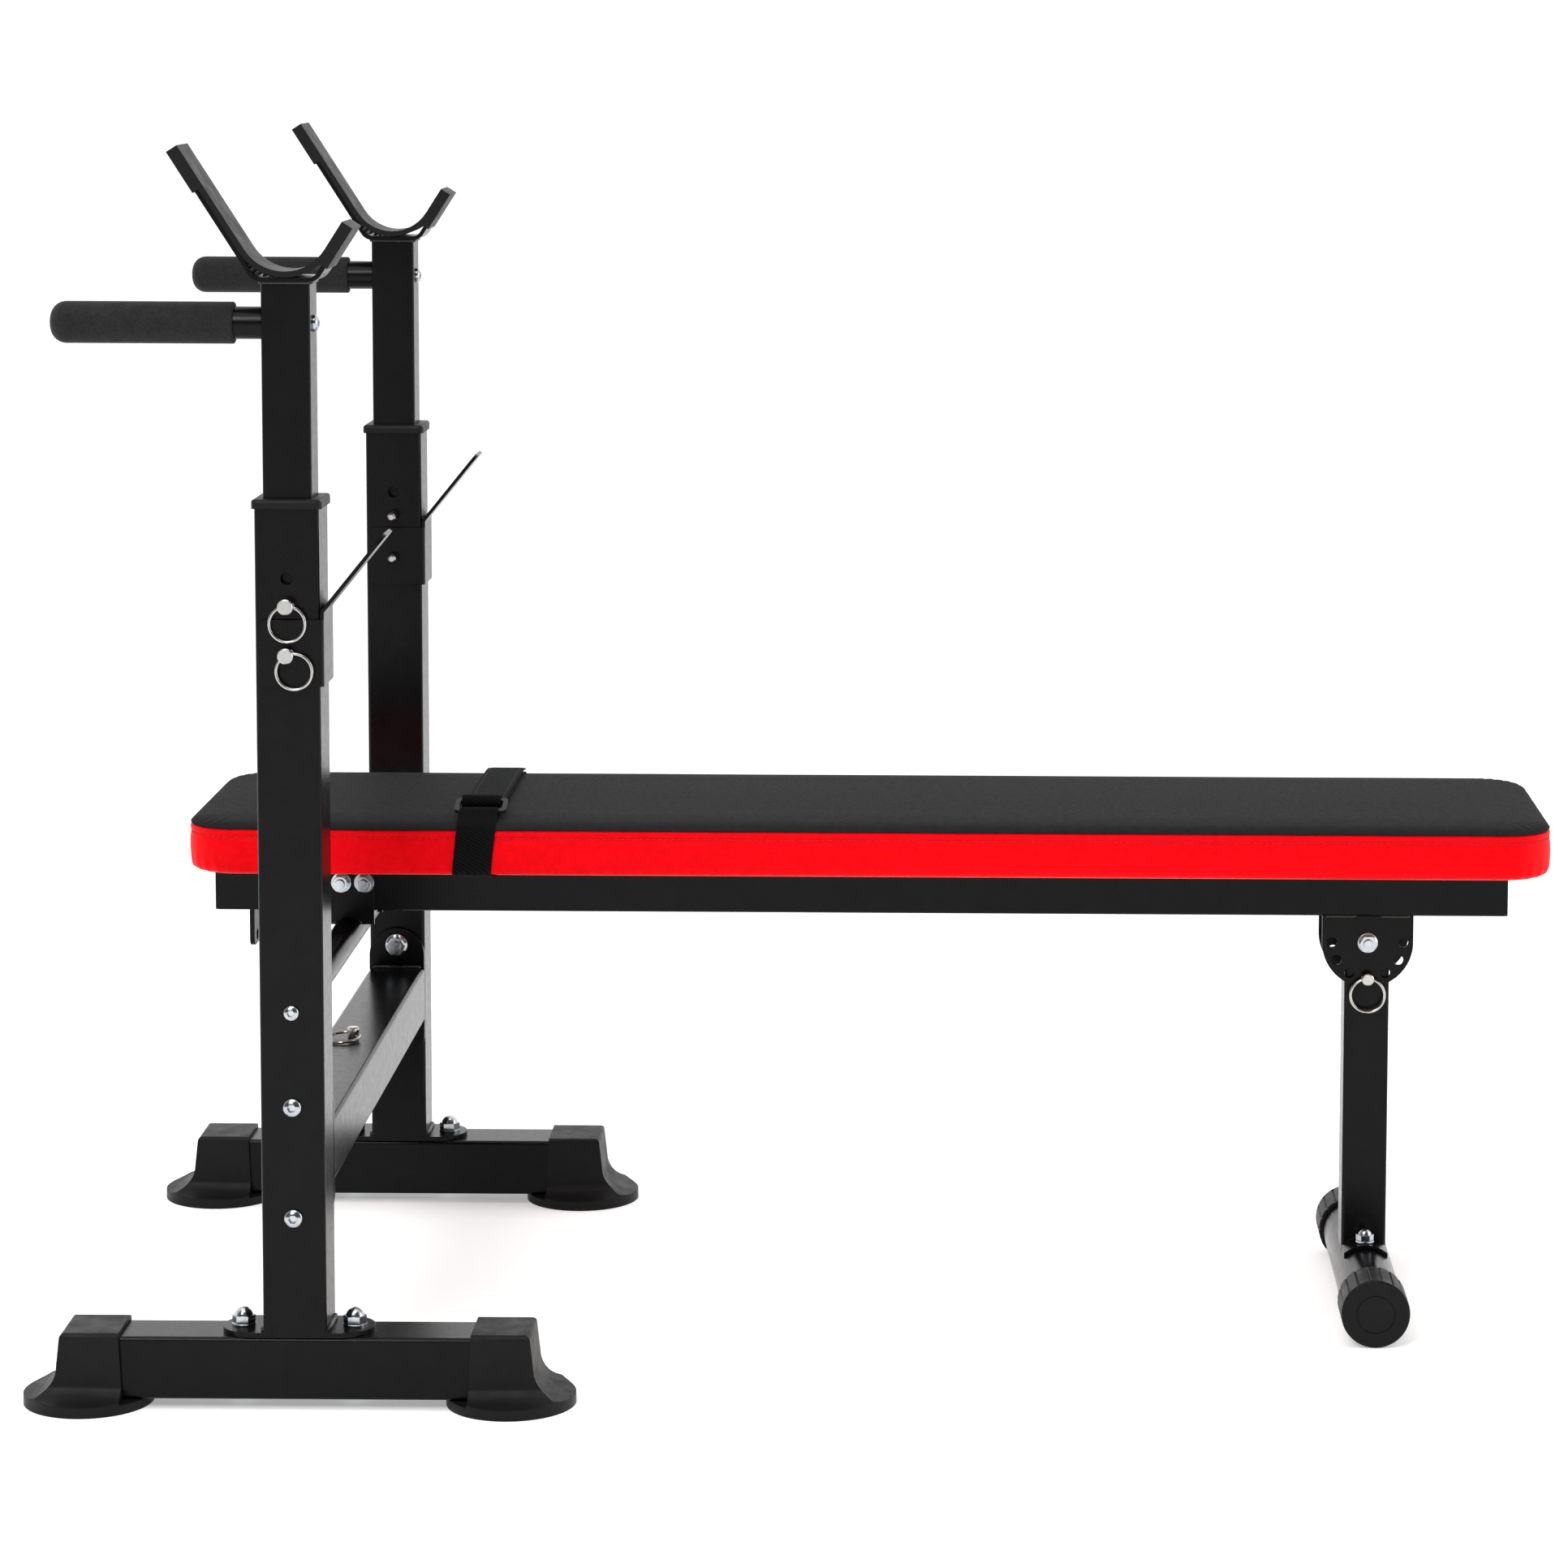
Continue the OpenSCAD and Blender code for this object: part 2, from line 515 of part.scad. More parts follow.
module leg_foot_tube() color(frame_black) rack() translate([leg_x, 0, foot_z]) difference() {
    ycyl(foot_d / 2, -foot_half + 5, foot_half - 5);
    ycyl(foot_d / 2 - wall, -foot_half, foot_half);
    for (s = [-1, 1]) translate([0, s * 33, 0]) cylinder(r = 4.3, h = 40);
}
// round ribbed end cap with a groove in its face
module leg_foot_cap() difference() {
    rotate([90, 0, 0]) rotate_extrude($fn = 72) polygon(concat([[0, foot_half], [15.2, foot_half], [15.2, foot_half - 0.6], [16.2, foot_half - 0.6], [16.2, foot_half]],
        arc(28.5 - 2, foot_half - 2, 2, 90, 0, 4), [[28.5, foot_half - 44], [27.7, foot_half - 45], [foot_d / 2 + 0.1, foot_half - 45], [foot_d / 2 + 0.1, foot_half - 4.9], [0, foot_half - 4.9]]));
    for (i = [0:17]) rotate([0, i * 20 + 10, 0]) translate([0, -foot_half - 1, 28.5]) rotate([0, 45, 0]) translate([-0.9, 3.4, -0.9]) cube([1.8, 60, 1.8]);
}
module leg_foot_caps() color(plastic_black) rack() translate([leg_x, 0, foot_z]) {
    leg_foot_cap();
    mirror([0, 1, 0]) leg_foot_cap();
}
module leg_foot_bolts() color(zinc) rack() translate([leg_x, 0, foot_z]) for (s = [-1, 1]) translate([0, s * 33, 0]) {
    translate([0, 0, foot_d / 2 - wall - 4.2]) cylinder(r = 6.4, h = 2.9);
    translate([0, 0, foot_d / 2 - wall - 1.5]) cylinder(r = 4, h = 13.5);
    translate([0, 0, foot_d / 2 + 3.5]) dome_nut(13, 4);
}

// --- pad and strap ---
pad_l = pad_front - pad_back;
pad_mid = (pad_front + pad_back) / 2;
module pad_board() color([0.62, 0.5, 0.36]) rack() difference() {
    translate([pad_mid, 0, pad_z + 0.1]) linear_extrude(12) rrect(pad_l - 16, pad_w - 16, pad_corner - 8);
    for (x = screw_x) translate([x, 0, pad_z - 1]) cylinder(r = 3.1, h = 9.2);
}
module pad_foam() color([0.85, 0.82, 0.7]) rack() translate([pad_mid, 0, 0]) {
    translate([0, 0, pad_z + 12.3]) linear_extrude(seam_z - pad_z - 12.6) rrect(pad_l - 5, pad_w - 5, pad_corner - 2.5);
    translate([0, 0, seam_z - 0.4]) linear_extrude(pad_top - seam_z - 1.4) rrect(pad_l - 5, pad_w - 5, pad_corner - 2.5);
}
module pad_top_cover() color([0.2, 0.2, 0.2]) rack() translate([pad_mid, 0, 0]) difference() {
    translate([0, 0, seam_z]) linear_extrude(pad_top - seam_z) rrect(pad_l, pad_w, pad_corner);
    translate([0, 0, seam_z - 1]) linear_extrude(pad_top - seam_z - 0.6) rrect(pad_l - 4, pad_w - 4, pad_corner - 2);
}
module pad_side_band() color([0.85, 0.03, 0.05]) rack() translate([pad_mid, 0, pad_z]) linear_extrude(seam_z - pad_z - 0.1) difference() {
    rrect(pad_l, pad_w, pad_corner);
    rrect(pad_l - 4, pad_w - 4, pad_corner - 2);
}
module pad_screws() color(zinc) rack() for (x = screw_x) translate([x, 0, 0]) {
    translate([0, 0, pad_z - wall - 4]) cylinder(r = 6, h = 3.9);
    translate([0, 0, pad_z - wall - 1]) cylinder(r = 3, h = 10);
}
module strap() color([0.08, 0.08, 0.08]) rack() translate([strap_x, 0, 0]) along_x(strap_w) difference() {
    translate([0, (pad_top + pad_z) / 2]) rrect(pad_w + 5.2, pad_top - pad_z + 5.2, 4);
    translate([0, (pad_top + pad_z) / 2]) rrect(pad_w + 1.2, pad_top - pad_z + 1.2, 2);
    translate([0, pad_z - 5]) square([90, 20], center = true);
}
module strap_buckle() color([0.07, 0.07, 0.07]) rack() translate([strap_x + 4, -104, pad_top + 7.7]) rotate([20, 0, 0]) linear_extrude(3, center = true) difference() {
    rrect(43, 21, 4);
    rrect(35, 13, 2);
}

base_tube_right();
base_tube_left();
foot_cap_front_right();
foot_cap_rear_right();
foot_cap_front_left();
foot_cap_rear_left();
upright_right();
upright_left();
base_bolts();
collar_right();
collar_left();
crossbeam();
crossbeam_bolts();
pivot_bolts();
inner_post_right();
inner_post_left();
slide_guide_right();
slide_guide_left();
hook_bracket_right();
hook_bracket_left();
hook_liner_right();
hook_liner_left();
dip_handle_right();
dip_handle_left();
dip_grip_right();
dip_grip_left();
handle_bolt_right();
handle_bolt_left();
safety_catch_right();
safety_catch_left();
height_pin_right();
height_pin_left();
height_pin_ring_right();
height_pin_ring_left();
catch_pin_right();
catch_pin_left();
catch_pin_ring_right();
catch_pin_ring_left();
storage_pin();
storage_pin_ring();
pivot_tube();
pivot_bracket();
bracket_bolts();
bench_beam();
beam_end_plugs();
leg_hinge_bracket();
leg_pivot_bolt();
leg_pin();
leg_pin_ring();
leg_tube();
leg_foot_tube();
leg_foot_caps();
leg_foot_bolts();
pad_board();
pad_foam();
pad_top_cover();
pad_side_band();
pad_screws();
strap();
strap_buckle();
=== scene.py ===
import json
import math
import random

import bmesh
import bpy
from mathutils import Matrix, Vector, noise


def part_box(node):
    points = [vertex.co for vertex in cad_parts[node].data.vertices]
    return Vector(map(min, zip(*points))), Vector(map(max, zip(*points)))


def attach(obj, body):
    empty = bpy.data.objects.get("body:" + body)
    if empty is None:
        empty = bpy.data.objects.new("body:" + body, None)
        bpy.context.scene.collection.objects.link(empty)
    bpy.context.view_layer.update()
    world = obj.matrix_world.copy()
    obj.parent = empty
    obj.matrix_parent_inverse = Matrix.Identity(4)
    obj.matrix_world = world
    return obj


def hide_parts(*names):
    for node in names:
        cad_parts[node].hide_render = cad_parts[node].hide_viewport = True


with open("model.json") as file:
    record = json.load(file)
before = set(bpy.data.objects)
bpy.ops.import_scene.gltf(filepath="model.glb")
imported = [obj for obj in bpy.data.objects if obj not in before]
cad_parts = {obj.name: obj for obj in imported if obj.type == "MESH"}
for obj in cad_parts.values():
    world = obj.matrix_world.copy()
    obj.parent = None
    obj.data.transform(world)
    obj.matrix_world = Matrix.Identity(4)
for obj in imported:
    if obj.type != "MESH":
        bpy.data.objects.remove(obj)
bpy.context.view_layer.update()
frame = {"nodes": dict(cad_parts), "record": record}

scene = bpy.context.scene
scene.view_settings.view_transform = "Standard"
POST_X = -0.395
MM = 0.001
random.seed(7)

# ---------------------------------------------------------------- camera
C = Vector((0.1525, -3.8493, 1.1028))
yaw, pitch, roll = math.radians(0.305), math.radians(5.81), math.radians(0.256)
f = Vector((-math.sin(yaw) * math.cos(pitch), math.cos(yaw) * math.cos(pitch), -math.sin(pitch)))
r0 = Vector((math.cos(yaw), math.sin(yaw), 0))
u0 = r0.cross(f)
rx = math.cos(roll) * r0 + math.sin(roll) * u0
ux = -math.sin(roll) * r0 + math.cos(roll) * u0
cam_data = bpy.data.cameras.new("camera")
cam = bpy.data.objects.new("camera", cam_data)
scene.collection.objects.link(cam)
cam.matrix_world = Matrix(((rx.x, ux.x, -f.x, C.x), (rx.y, ux.y, -f.y, C.y), (rx.z, ux.z, -f.z, C.z), (0, 0, 0, 1)))
cam_data.sensor_width = 36
cam_data.lens = 5650.4 / 1932 * 36
cam_data.shift_x = -0.12
cam_data.shift_y = -0.2
cam_data.clip_start, cam_data.clip_end = 0.05, 400
scene.camera = cam


# ---------------------------------------------------------------- material helpers
class M:
    """A node material with object coordinates in metres and a chain of bumps."""

    def __init__(self, name, color, rough, metal=0.0, spec=0.5):
        self.m = bpy.data.materials.new(name)
        self.m.use_nodes = True
        self.t = self.m.node_tree
        self.b = next(n for n in self.t.nodes if n.type == "BSDF_PRINCIPLED")
        self.b.inputs["Base Color"].default_value = (*color, 1)
        self.b.inputs["Roughness"].default_value = rough
        self.b.inputs["Metallic"].default_value = metal
        self.b.inputs["Specular IOR Level"].default_value = spec
        self.co = self.t.nodes.new("ShaderNodeTexCoord").outputs["Object"]
        self.normal = None

    def node(self, kind, **kw):
        n = self.t.nodes.new(kind)
        for k, v in kw.items():
            if k in n.inputs:
                n.inputs[k].default_value = v
            else:
                setattr(n, k, v)
        return n

    def link(self, a, b):
        self.t.links.new(a, b)

    def scaled(self, s):
        n = self.node("ShaderNodeMapping")
        n.inputs["Scale"].default_value = s if hasattr(s, "__len__") else (s, s, s)
        self.link(self.co, n.inputs["Vector"])
        return n.outputs["Vector"]

    def noise(self, scale, detail=3.0, rough=0.55):
        n = self.node("ShaderNodeTexNoise", Scale=1.0, Detail=detail, Roughness=rough)
        self.link(self.scaled(scale), n.inputs["Vector"])
        return n.outputs["Fac"]

    def voronoi(self, scale, feature="F1", smooth=None):
        n = self.node("ShaderNodeTexVoronoi", Scale=1.0)
        n.feature = feature
        self.link(self.scaled(scale), n.inputs["Vector"])
        return n.outputs["Distance"]

    def ramp(self, fac, stops):
        n = self.node("ShaderNodeValToRGB")
        e = n.color_ramp.elements
        while len(e) < len(stops):
            e.new(0.5)
        for el, (p, c) in zip(e, stops):
            el.position = p
            el.color = (c, c, c, 1) if isinstance(c, (int, float)) else (*c, 1)
        self.link(fac, n.inputs["Fac"])
        return n.outputs["Color"]

    def maprange(self, fac, a, b, lo=0.3, hi=0.7):
        n = self.node("ShaderNodeMapRange")
        n.inputs["From Min"].default_value = lo
        n.inputs["From Max"].default_value = hi
        n.inputs["To Min"].default_value = a
        n.inputs["To Max"].default_value = b
        self.link(fac, n.inputs["Value"])
        return n.outputs["Result"]

    def bump(self, height, strength, dist):
        n = self.node("ShaderNodeBump", Strength=strength, Distance=dist)
        self.link(height, n.inputs["Height"])
        if self.normal is not None:
            self.link(self.normal, n.inputs["Normal"])
        self.normal = n.outputs["Normal"]
        return self

    def bevel(self, radius):
        n = self.node("ShaderNodeBevel", Radius=radius)
        n.samples = 4
        self.normal = n.outputs["Normal"]
        return self

    def rough(self, out):
        self.link(out, self.b.inputs["Roughness"])
        return self

    def color(self, out):
        self.link(out, self.b.inputs["Base Color"])
        return self

    def mul(self, a, k):
        n = self.node("ShaderNodeMath", operation="MULTIPLY")
        self.link(a, n.inputs[0])
        n.inputs[1].default_value = k
        return n.outputs[0]

    def add(self, a, b):
        n = self.node("ShaderNodeMath", operation="ADD")
        self.link(a, n.inputs[0])
        self.link(b, n.inputs[1])
        return n.outputs[0]

    def done(self):
        if self.normal is not None:
            self.link(self.normal, self.b.inputs["Normal"])
        return self.m


def powder():
    m = M("powder_black", (0.005, 0.005, 0.0055), 0.22, spec=0.11)
    m.bevel(0.0009)
    m.bump(m.noise(520, 2.0), 0.10, 0.0006)
    m.bump(m.noise(2100, 2.0), 0.16, 0.00025)
    m.rough(m.maprange(m.noise(140, 5.0, 0.65), 0.17, 0.25))
    m.color(m.ramp(m.noise(55, 4.0), [(0.3, (0.0028, 0.0028, 0.0030)), (0.7, (0.0040, 0.0040, 0.0043))]))
    return m.done()


def plastic(name, base, rough=0.5, spec=0.4):
    m = M(name, (base, base, base * 1.03), rough, spec=spec)
    m.bevel(0.0007)
    m.bump(m.voronoi(1500), 0.16, 0.0003)
    m.bump(m.noise(420, 3.0), 0.12, 0.0004)
    m.rough(m.maprange(m.noise(60, 4.0), rough - 0.07, rough + 0.09))
    return m.done()


def zinc():
    m = M("zinc_plate", (0.42, 0.45, 0.48), 0.2, 1.0)
    m.bevel(0.0004)
    m.bump(m.noise(1600, 3.0), 0.03, 0.0002)
    m.rough(m.maprange(m.noise(240, 5.0), 0.12, 0.22))
    m.color(m.ramp(m.noise(160, 3.0), [(0.3, (0.36, 0.40, 0.46)), (0.7, (0.50, 0.51, 0.51))]))
    return m.done()


def nickel():
    m = M("nickel_plate", (0.44, 0.43, 0.41), 0.2, 1.0)
    m.bevel(0.0004)
    m.bump(m.noise(1400, 4.0), 0.06, 0.0002)
    m.rough(m.maprange(m.noise(300, 4.0), 0.14, 0.26))
    return m.done()


def foam_grip():
    m = M("grip_foam", (0.022, 0.022, 0.023), 0.9, spec=0.25)
    m.bump(m.voronoi(1100), 0.45, 0.0005)
    m.bump(m.noise(300, 4.0), 0.25, 0.0008)
    m.b.inputs["Sheen Weight"].default_value = 0.06
    m.rough(m.maprange(m.noise(90, 3.0), 0.82, 0.97))
    m.color(m.ramp(m.noise(500, 4.0), [(0.3, (0.0065, 0.0065, 0.007)), (0.7, (0.0145, 0.0145, 0.015))]))
    return m.done()


def vinyl(name, dark, light, rough, spec=0.45):
    m = M(name, light, rough, spec=spec)
    m.bump(m.ramp(m.voronoi(620, "DISTANCE_TO_EDGE"), [(0.0, 0.0), (0.22, 1.0)]), 0.45, 0.0003)
    m.bump(m.noise(1500, 3.0), 0.18, 0.0002)
    m.rough(m.maprange(m.noise(210, 4.0), rough - 0.04, rough + 0.05))
    m.color(m.ramp(m.noise(150, 4.0), [(0.3, dark), (0.7, light)]))
    return m.done()


def webbing():
    m = M("strap_webbing", (0.006, 0.006, 0.006), 0.8, spec=0.06)
    # rows of yarn across the band and chevrons along it
    w = m.node("ShaderNodeTexWave", Scale=1.0, Distortion=0.6, Detail=1.0)
    w.wave_type, w.bands_direction = "BANDS", "X"
    m.link(m.scaled((150, 150, 150)), w.inputs["Vector"])
    v = m.node("ShaderNodeTexWave", Scale=1.0, Distortion=1.2, Detail=1.0)
    v.wave_type, v.bands_direction = "BANDS", "DIAGONAL"
    m.link(m.scaled((120, 210, 210)), v.inputs["Vector"])
    m.bump(w.outputs["Fac"], 0.5, 0.0005)
    m.bump(v.outputs["Fac"], 0.45, 0.0005)
    m.bump(m.noise(1500, 3.0), 0.3, 0.0003)
    m.color(m.ramp(v.outputs["Fac"], [(0.2, (0.0012, 0.0012, 0.0013)), (0.8, (0.0052, 0.0052, 0.0054))]))
    m.b.inputs["Sheen Weight"].default_value = 0.01
    return m.done()


def wood():
    m = M("pad_board_ply", (0.50, 0.36, 0.22), 0.7, spec=0.3)
    m.color(m.ramp(m.noise((5, 60, 60), 8.0, 0.6), [(0.25, (0.36, 0.23, 0.12)), (0.5, (0.52, 0.37, 0.22)), (0.75, (0.62, 0.47, 0.30))]))
    m.bump(m.noise((20, 400, 400), 4.0), 0.25, 0.0004)
    m.rough(m.maprange(m.noise(60, 3.0), 0.6, 0.8))
    return m.done()


def weld():
    m = M("weld_black", (0.007, 0.007, 0.0075), 0.25, spec=0.4)
    m.bump(m.noise(500, 3.0), 0.5, 0.0006)
    m.rough(m.maprange(m.noise(120, 3.0), 0.16, 0.30))
    return m.done()


def thread(name, color):
    m = M(name, color, 0.6, spec=0.4)
    m.bump(m.noise(4000, 2.0), 0.3, 0.0002)
    m.rough(m.maprange(m.noise(900, 2.0), 0.5, 0.7))
    return m.done()


MATS = {
    "black_paint": powder(),
    "black_plastic": plastic("moulded_black", 0.0068, 0.46, 0.13),
    "zinc_steel": zinc(),
    "bright_nickel": nickel(),
    "grip_foam": foam_grip(),
    "board_wood": wood(),
    "pad_foam": plastic("foam_block", 0.6, 0.9),
    "black_vinyl": vinyl("vinyl_charcoal", (0.0155, 0.0147, 0.0151), (0.0190, 0.0181, 0.0186), 0.60, 0.015),
    "red_vinyl": vinyl("vinyl_red", (0.74, 0.0006, 0.0035), (0.84, 0.0010, 0.0052), 0.40, 0.04),
    "webbing": webbing(),
    "buckle_plastic": plastic("buckle_black", 0.007, 0.34, 0.3),
}
slot_of = {s["node"]: s["material_slot"] for s in frame["record"]["subparts"]}
for name, o in frame["nodes"].items():
    o.data.materials.clear()
    o.data.materials.append(MATS[slot_of[name]])
    o.data.polygons.foreach_set("use_smooth", [True] * len(o.data.polygons))
    join = o.modifiers.new("join", "WELD")
    join.merge_threshold = 2e-6
    split = o.modifiers.new("split", "EDGE_SPLIT")
    split.split_angle = math.radians(33)
    wn = o.modifiers.new("normals", "WEIGHTED_NORMAL")
    wn.weight = 100
    wn.keep_sharp = True


# ---------------------------------------------------------------- mesh helpers
def new_mesh(name, verts, faces, mats, body=None, smooth=True, face_mats=None):
    me = bpy.data.meshes.new(name)
    me.from_pydata(verts, [], faces)
    for m in mats:
        me.materials.append(m)
    if face_mats is not None:
        me.polygons.foreach_set("material_index", face_mats)
    if smooth:
        me.polygons.foreach_set("use_smooth", [True] * len(me.polygons))
    me.update()
    o = bpy.data.objects.new(name, me)
    scene.collection.objects.link(o)
    if body:
        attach(o, body)
    return o


def outline(x0, x1, y0, y1, r, n_side, n_arc, inset=0.0):
    """Plan of a rounded rectangle, counter-clockwise: list of (point, outward normal, arc length)."""
    pts = []
    cs = [((x1 - r, y0 + r), -90), ((x1 - r, y1 - r), 0), ((x0 + r, y1 - r), 90), ((x0 + r, y0 + r), 180)]
    # long near side first, from the rear corner to the front corner
    def line(a, b, n, nrm):
        for i in range(n):
            t = i / n
            pts.append((Vector((a[0] + (b[0] - a[0]) * t, a[1] + (b[1] - a[1]) * t)), Vector(nrm)))
    def corner(c, a0, n):
        for i in range(n):
            a = math.radians(a0 + 90 * i / n)
            pts.append((Vector((c[0] + r * math.cos(a), c[1] + r * math.sin(a))), Vector((math.cos(a), math.sin(a)))))
    line((x0 + r, y0), (x1 - r, y0), n_side, (0, -1))
    corner(*cs[0], n_arc)
    line((x1, y0 + r), (x1, y1 - r), max(4, n_side // 5), (1, 0))
    corner(*cs[1], n_arc)
    line((x1 - r, y1), (x0 + r, y1), n_side, (0, 1))
    corner(*cs[2], n_arc)
    line((x0, y1 - r), (x0, y0 + r), max(4, n_side // 5), (-1, 0))
    corner(*cs[3], n_arc)
    out, s = [], 0.0
    for i, (p, n) in enumerate(pts):
        out.append((p, n, s))
        s += (pts[(i + 1) % len(pts)][0] - p).length
    return out, s


def shell(name, ring, profile, cap_top, cap_bottom, mats, wave=None, body="bench"):
    """Sweeps a profile of (inset, z) round the plan."""
    verts, faces = [], []
    n = len(ring)
    for j, (d, z) in enumerate(profile):
        for p, nm, s in ring:
            q = p - nm * d
            dz = dn = 0.0
            if wave:
                dn, dz = wave(p, nm, s, d, z, j)
            verts.append((q.x + nm.x * dn, q.y + nm.y * dn, z + dz))
    for j in range(len(profile) - 1):
        for i in range(n):
            a, b = j * n + i, j * n + (i + 1) % n
            faces.append((a, b, b + n, a + n))
    if cap_top:
        faces.append(tuple(range((len(profile) - 1) * n, len(profile) * n)))
    if cap_bottom:
        faces.append(tuple(reversed(range(n))))
    return new_mesh(name, verts, faces, mats, body)


# ---------------------------------------------------------------- pad
px0, px1 = POST_X - 0.1206, POST_X + 1.0085
py0, py1 = -0.130, 0.130
R = 0.042
SEAM = 0.424
ring, per = outline(px0, px1, py0, py1, R, 190, 26)


def near_corner(p):
    cx = max(px0 + R - p.x, p.x - (px1 - R), 0) / R
    cy = max(py0 + R - p.y, p.y - (py1 - R), 0) / R
    return min(1.0, cx * cy * 3.0)


def wave_top(p, nm, s, d, z, j):
    k = near_corner(p)
    w = math.sin(s * 2 * math.pi / 0.0052)
    pucker = 0.00016 * w * math.exp(-abs(z - SEAM) / 0.003)
    big = 0.00022 * (noise.noise(Vector((p.x * 9 - nm.x * d * 9, p.y * 9 - nm.y * d * 9, 3.1))))
    wr = k * 0.0006 * math.sin(s * 2 * math.pi / 0.0105 + 1.3) * math.exp(-((d - 0.006) / 0.010) ** 2)
    return (pucker, big * min(1, d / 0.02) + wr * 0.6)


def wave_band(p, nm, s, d, z, j):
    k = near_corner(p)
    h = (z - 0.386) / 0.038
    w = math.sin(s * 2 * math.pi / 0.0052)
    pucker = -0.00022 * (0.5 + 0.5 * w) * math.exp(-((z - (SEAM - 0.0062)) / 0.0016) ** 2)
    big = 0.00035 * noise.noise(Vector((p.x * 14, p.y * 14, z * 30)))
    wr = k * 0.0006 * math.sin(s * 2 * math.pi / 0.012) * max(0.0, 1 - abs(h - 0.08) * 2.2)
    return (pucker + big + wr, 0.0)


top_profile = [(0.0016, SEAM + 0.0001), (0.0004, SEAM + 0.0010), (0.0003, SEAM + 0.0018), (0.0010, SEAM + 0.0028), (0.0026, SEAM + 0.0040),
               (0.0050, SEAM + 0.0051), (0.0085, SEAM + 0.0060), (0.013, SEAM + 0.0067), (0.019, SEAM + 0.0073), (0.027, SEAM + 0.0079), (0.037, SEAM + 0.0084)]
band_profile = [(0.034, 0.3861), (0.020, 0.3860), (0.010, 0.3861), (0.0065, 0.3865), (0.0038, 0.3875), (0.0018, 0.3892), (0.0006, 0.3916), (0.0000, 0.3950),
                (-0.0003, 0.4000), (-0.0005, 0.4050), (-0.0004, 0.4100), (0.0, 0.4145), (0.0004, 0.4165), (0.0008, 0.41735), (0.00095, 0.4178), (0.0008, 0.41825), (0.0003, 0.4195),
                (0.0, 0.4210), (0.0001, 0.4224), (0.0008, 0.4234), (0.0018, SEAM)]

# the crowned middle of the top is a grid inside the innermost ring
def top_panel():
    verts, faces = [], []
    n = len(ring)
    for j, (d, z) in enumerate(top_profile):
        for p, nm, s in ring:
            q = p - nm * d
            dn, dz = wave_top(p, nm, s, d, z, j)
            verts.append((q.x + nm.x * dn, q.y + nm.y * dn, z + dz))
    for j in range(len(top_profile) - 1):
        for i in range(n):
            a, b = j * n + i, j * n + (i + 1) % n
            faces.append((a, b, b + n, a + n))
    # further rings shrink towards the centre line, so that the crown is smooth
    base = (len(top_profile) - 1) * n
    last = [Vector(verts[base + i]) for i in range(n)]
    cx0, cx1 = px0 + 0.130, px1 - 0.130
    steps = 9
    prev = base
    for k in range(1, steps + 1):
        t = k / steps
        start = len(verts)
        for v in last:
            tx = min(max(v.x, cx0), cx1)
            x = v.x + (tx - v.x) * t
            y = v.y * (1 - t)
            z = v.z * (1 - t) + (SEAM + 0.0084) * t + 0.0009 * math.sin(t * math.pi / 2) + 0.00015 * noise.noise(Vector((x * 7, y * 7, 1.7)))
            verts.append((x, y, z))
        for i in range(n):
            a, b = prev + i, prev + (i + 1) % n
            c, e = start + i, start + (i + 1) % n
            faces.append((a, b, e, c))
        prev = start
    o = new_mesh("pad_top_skin", verts, faces, [MATS["black_vinyl"]], "bench")
    bm = bmesh.new()
    bm.from_mesh(o.data)
    bmesh.ops.remove_doubles(bm, verts=bm.verts, dist=1e-5)
    bmesh.ops.dissolve_degenerate(bm, edges=bm.edges, dist=1e-6)
    bm.to_mesh(o.data)
    bm.free()
    o.data.polygons.foreach_set("use_smooth", [True] * len(o.data.polygons))
    return o


top = top_panel()
band = shell("pad_side_skin", ring, band_profile, False, False, [MATS["red_vinyl"]], wave_band, "bench")
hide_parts("pad_top_cover", "pad_foam")
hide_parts("pad_side_band")


# stitches: short rounded threads sunk a little into the band
def capsule(verts, faces, c, t, n, b, length, ra, rb, seg=6):
    """Rounded thread at c along t; n is out of the surface."""
    prof = [(-0.5, 0.25), (-0.38, 0.8), (0.0, 1.0), (0.38, 0.8), (0.5, 0.25)]
    base = len(verts)
    for u, k in prof:
        for i in range(seg):
            a = 2 * math.pi * i / seg
            verts.append(tuple(c + t * (u * length) + n * (math.sin(a) * ra * k) + b * (math.cos(a) * rb * k)))
    for j in range(len(prof) - 1):
        for i in range(seg):
            p, q = base + j * seg + i, base + j * seg + (i + 1) % seg
            faces.append((p, q, q + seg, p + seg))
    faces.append(tuple(base + i for i in reversed(range(seg))))
    faces.append(tuple(base + (len(prof) - 1) * seg + i for i in range(seg)))


fine, per = outline(px0, px1, py0, py1, R, 900, 60)


def at(s):
    s %= per
    lo, hi = 0, len(fine) - 1
    while lo < hi:
        mid = (lo + hi + 1) // 2
        if fine[mid][2] <= s:
            lo = mid
        else:
            hi = mid - 1
    p, n, s0 = fine[lo]
    p2, n2, _ = fine[(lo + 1) % len(fine)]
    s1 = fine[(lo + 1) % len(fine)][2] if lo + 1 < len(fine) else per
    t = (s - s0) / max(s1 - s0, 1e-9)
    return p.lerp(p2, t), n.lerp(n2, t).normalized()


